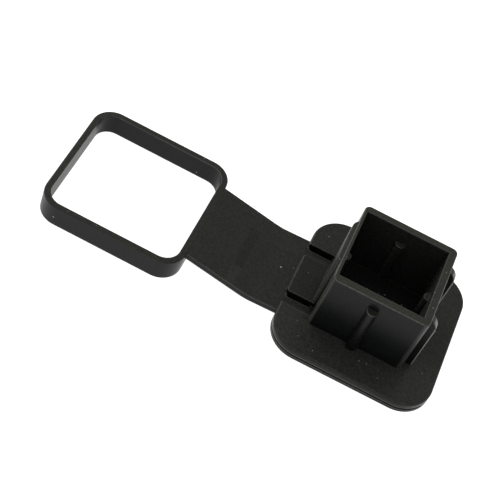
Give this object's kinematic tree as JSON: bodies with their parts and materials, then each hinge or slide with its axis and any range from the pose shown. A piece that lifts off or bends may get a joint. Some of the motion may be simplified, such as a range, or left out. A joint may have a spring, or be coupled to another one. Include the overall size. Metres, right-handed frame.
{
  "type": "hitch receiver cover",
  "caption": "Soft rubber cover for a square towing receiver tube: ribbed hollow plug on a rounded flange, tied by a flat strap to a rounded square collar.",
  "frame": {"origin": "where the plug's axis meets the outer face of the flange, which lies on the floor", "axes": "+Z along the plug's axis, from the flange's outer face to the plug's open rim; +X from the collar along the strap to the plug; +Y across the strap"},
  "size_m": [0.1967, 0.0832, 0.041],
  "materials": {
    "rubber": "satin"
  },
  "bodies": {
    "root": {"hitch_cover": "rubber"}
  },
  "joints": []
}
